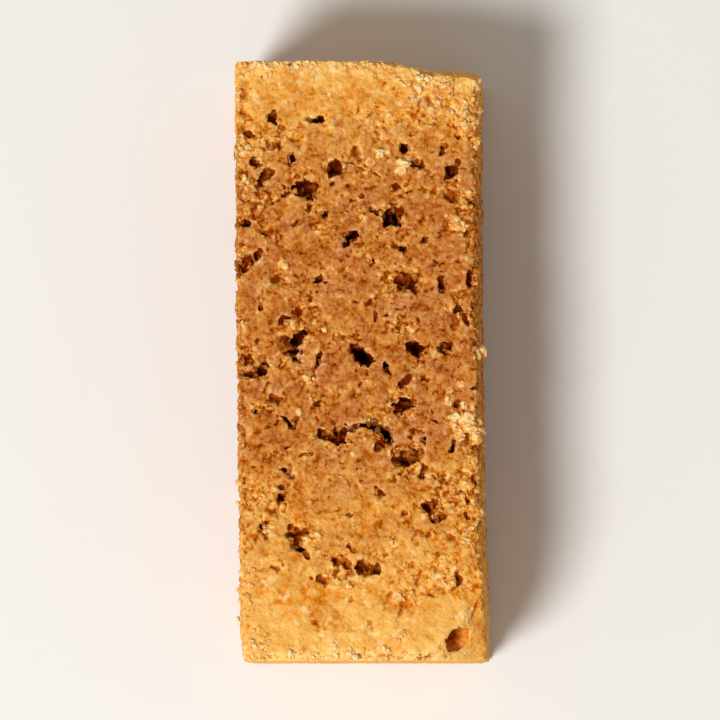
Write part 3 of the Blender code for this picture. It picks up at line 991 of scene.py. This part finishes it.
# Crumbs that sit on the bar, each a cluster of grains. Millimetres: x, y and size, then how pale each is
looseCrumbs = {
    "placed": [
        (3.4, 29.7, 1.1, 0.9), (2.4, 25.0, 2.0, 0.8), (5.5, 23.6, 2.2, 0.6), (0.3, 18.1, 1.5, 0.7),
        (8.6, 33.0, 1.2, 0.8), (5.6, 33.6, 1.1, 0.8), (12.2, 28.6, 1.3, 0.9), (12.8, -5.6, 1.2, 0.8),
        (-13.6, 21.6, 1.2, 0.8), (-14.0, 4.5, 0.8, 1.0), (-9.2, 11.5, 1.6, 0.3), (-7.4, -6.0, 1.5, 0.6),
        (-5.7, -9.4, 0.8, 0.9), (14.1, 1.1, 2.3, 0.8), (13.0, -7.0, 2.5, 0.6), (14.0, -8.3, 2.1, 0.45),
        (11.5, -7.9, 1.3, 0.9), (11.9, -9.2, 1.5, 0.75), (12.4, -2.7, 1.2, 0.4), (1.0, -2.5, 1.0, 0.4),
        (10.6, -5.3, 1.1, 0.45), (-0.8, -11.4, 0.7, 0.6), (-9.9, -14.9, 0.6, 0.8), (-14.2, 26.6, 2.2, 0.3),
        (-13.6, 25.2, 1.7, 0.35), (11.8, 17.0, 2.6, 0.25), (13.2, 29.0, 1.9, 0.95), (14.3, 30.0, 1.6, 0.9),
        (12.6, 30.9, 1.1, 0.6), (8.7, 28.9, 1.4, 0.3), (4.6, 34.0, 1.2, 0.8), (6.8, 33.0, 1.4, 0.95),
        (7.7, 33.6, 1.4, 0.9), (-5.4, -21.8, 1.5, 0.35), (-5.0, -23.2, 1.4, 0.35), (-2.8, -26.8, 2.0, 0.4),
        (-1.4, -27.3, 1.3, 0.6), (-11.3, -20.3, 0.9, 0.7), (1.7, -23.3, 0.9, 0.5), (12.6, -20.6, 1.5, 0.4),
        (-12.9, 35.6, 1.4, 0.8), (-11.6, 35.7, 1.7, 0.9), (-10.3, 35.7, 1.5, 0.8), (-8.9, 35.6, 1.2, 0.7),
        (-7.6, 35.6, 1.4, 0.9), (-6.0, 35.5, 1.1, 0.7), (-0.9, 35.4, 0.9, 0.8), (-14.1, 34.4, 1.0, 0.6),
        (-12.7, -34.7, 1.3, 0.8), (-11.4, -34.2, 1.1, 0.7), (-11.9, -35.3, 1.2, 0.8), (-8.4, -35.4, 1.7, 0.8),
        (-5.6, -35.3, 1.5, 0.8), (-2.8, -35.0, 1.3, 0.9), (-1.2, -35.3, 1.7, 0.9), (3.2, -35.3, 1.4, 0.6),
        (6.0, -33.2, 0.8, 0.8), (-13.4, -27.0, 0.9, 0.8), (-13.6, -30.2, 0.9, 0.9), (12.9, -21.8, 1.3, 0.6),
    ],
    "strewn": 280,
    "strewnSize": (0.4, 1.3),
    "single": 0.8 * mm,
    "fine": 0.6 * mm,
    "parts": 5,
    "partSizes": (0.45, 0.7),
    "spread": 0.24,
    "sides": ((0.85, 1.15), (0.6, 0.9), (0.6, 0.85)),
    "bake": 0.75,
    "seed": 12,
}


def clearOfHollows(place, size):
    flat = Vector((place.x, place.y)) / mm
    wide = [(flat - Vector((x, y))).length - length / 2 for x, y, length, *_ in topHollows]
    narrow = [(flat - Vector(bend)).length - 0.4 for _, _, *bends in topGashes for bend in bends]
    return place.z < bar["topFrom"] or min(wide + narrow) > size / 2 / mm


def crumbSpots(body, surface, rng):
    for x, y, size, paleness in looseCrumbs["placed"]:
        hit = surface.ray_cast(Vector((x * mm, y * mm, 1)), Vector((0, 0, -1)))[0]
        yield hit, size * mm, paleness
    likely = []
    attributes = body.data.attributes
    for vert, torn, relief in zip(body.data.vertices, attributes["torn"].data, attributes["relief"].data):
        onTop = vert.co.z > bar["topFrom"]
        pale = nearest(vert.co, paleSpots) if onTop else 0.0
        wanted = torn.value ** 2 + 0.6 * edgeNearness(vert.co) + 1.2 * pale
        level = (1 - ramp(-relief.value, 0.1, 0.4)) * (1 - rimNearness(vert.co))
        level *= 2 if onTop else 0.5
        likely.append(wanted * level if vert.co.z > 1.5 * mm else 0.0)
    for index in rng.choices(range(len(likely)), likely, k=looseCrumbs["strewn"]):
        low, high = looseCrumbs["strewnSize"]
        size = (low + (high - low) * rng.random() ** 2) * mm
        paleness = rng.uniform(0.1, 0.6)
        if clearOfHollows(body.data.vertices[index].co, size):
            yield body.data.vertices[index].co, size, paleness


def roughCrumb(rng, place, facing, size, rounds):  # one broken crumb, half sunk and wider at its foot
    bm = bmesh.new()
    bmesh.ops.create_icosphere(bm, subdivisions=rounds, radius=0.5)
    for vert in bm.verts:
        seed = vert.co + place * 900
        swollen = 1 + 0.6 * noise.noise(2.2 * seed) + 0.4 * noise.noise(5 * seed)
        vert.co *= swollen + 0.3 * noise.noise(11 * seed)
        wider = 1 + 0.9 * max(0.0, 0.15 - vert.co.z)
        vert.co = (vert.co.x * wider, vert.co.y * wider, vert.co.z)
    shape = Vector([size * rng.uniform(*shares) for shares in looseCrumbs["sides"]])
    bmesh.ops.scale(bm, vec=shape, verts=bm.verts)
    lean = Euler((rng.uniform(-0.3, 0.3), rng.uniform(-0.3, 0.3), rng.uniform(0, math.tau)))
    turn = facing @ lean.to_quaternion()
    bmesh.ops.transform(bm, matrix=Matrix.LocRotScale(place, turn, None), verts=bm.verts)
    mesh = bpy.data.meshes.new("roughCrumb")
    bm.to_mesh(mesh)
    bm.free()
    return mesh


def makeLooseCrumbs(body, material, surface):
    rng = random.Random(looseCrumbs["seed"])
    bm = bmesh.new()
    paler = []
    for place, size, paleness in crumbSpots(body, surface, rng):
        parts = 1 if size < looseCrumbs["single"] else looseCrumbs["parts"]
        outward = Vector((0, 0, 0.5)) + surface.find_nearest(place)[1]
        facing = outward.to_track_quat("Z", "Y")
        sunk = 0.08 * ramp(-place.y, 28 * mm, 33 * mm)  # a little deeper at the near end
        for part in range(parts):
            spread = looseCrumbs["spread"] * size if part else 0.0
            offset = Vector((rng.gauss(0, spread), rng.gauss(0, spread), rng.uniform(-0.14, 0.0) * size))
            offset.z -= sunk * size
            partSize = size if parts == 1 else size * rng.uniform(*looseCrumbs["partSizes"])
            rounds = 3 if partSize > looseCrumbs["fine"] else 2
            mesh = roughCrumb(rng, place + facing @ offset, facing, partSize, rounds)
            bm.from_mesh(mesh)
            count = len(mesh.vertices)
            bpy.data.meshes.remove(mesh)
            paler += [min(1.0, max(0.0, paleness + rng.uniform(-0.15, 0.15)))] * count
    piece = meshObject("looseCrumbs", bm)
    piece.data.attributes.new("paleness", "FLOAT", "POINT").data.foreach_set("value", paler)
    keepInBox(piece.data)
    addRise(piece, surface, looseCrumbs["bake"])
    piece.data.shade_smooth()
    finishPiece(piece, material)
    report(f"looseCrumbs: {len(piece.data.polygons)} faces")


paleFloor = {
    "reach": 3.0,
    "colour": (0.8, 0.8, 0.79, 1),
    "roughness": 0.9,
}


def makeFloor():
    bm = bmesh.new()
    bmesh.ops.create_grid(bm, x_segments=1, y_segments=1, size=paleFloor["reach"])
    floor = meshObject("floor", bm)
    material = bpy.data.materials.new("paleFloor")
    material.use_nodes = True
    shader = material.node_tree.nodes["Principled BSDF"]
    shader.inputs["Base Color"].default_value = paleFloor["colour"]
    shader.inputs["Roughness"].default_value = paleFloor["roughness"]
    floor.data.materials.append(material)


view = {
    "sideTilt": math.radians(1.8),
    "frontTilt": math.radians(3.0),
    "distance": 1.0,
    "frameWidth": 87 * mm,
    "sensor": 36,
}


def makeCamera():  # nearly straight down, with +Y up in the frame
    data = bpy.data.cameras.new("camera")
    data.sensor_width = view["sensor"]
    data.lens = view["sensor"] * view["distance"] / view["frameWidth"]
    camera = bpy.data.objects.new("camera", data)
    bpy.context.scene.collection.objects.link(camera)
    away = Vector((math.tan(view["sideTilt"]), -math.tan(view["frontTilt"]), 1)).normalized()
    camera.location = Vector((0, 0, bar["height"])) + away * view["distance"]
    right = Vector((0, 1, 0)).cross(away).normalized()
    camera.rotation_euler = Matrix((right, away.cross(right), away)).transposed().to_euler()
    bpy.context.scene.camera = camera


light = {
    "place": Vector((-0.45, -0.46, 1.0)),
    "size": 0.4,
    "power": 12.6,
    "room": 0.36,
    "roomColour": (1.0, 0.92, 0.8, 1),
}


def makeLight():  # a soft lamp from the lower left, and the room's even light
    data = bpy.data.lights.new("window", "AREA")
    data.shape = "DISK"
    data.size = light["size"]
    data.energy = light["power"]
    lamp = bpy.data.objects.new("window", data)
    bpy.context.scene.collection.objects.link(lamp)
    lamp.location = light["place"]
    lamp.rotation_euler = light["place"].to_track_quat("Z", "Y").to_euler()
    world = bpy.data.worlds.new("room")
    bpy.context.scene.world = world
    world.use_nodes = True
    background = world.node_tree.nodes["Background"]
    background.inputs["Color"].default_value = light["roomColour"]
    background.inputs["Strength"].default_value = light["room"]


body = makeBar()
bakedCrumb = crumbMaterial()
finishPiece(body, bakedCrumb)
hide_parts("mysore_pak")
bodyPoints = [v.co for v in body.data.vertices]
crumbSurface = BVHTree.FromPolygons(bodyPoints, [p.vertices for p in body.data.polygons])
makeGrains(body, bakedCrumb, crumbSurface)
makeLooseCrumbs(body, bakedCrumb, crumbSurface)
makeFloor()
makeCamera()
makeLight()
bpy.context.scene.view_settings.view_transform = "Standard"

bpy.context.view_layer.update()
report("finished")
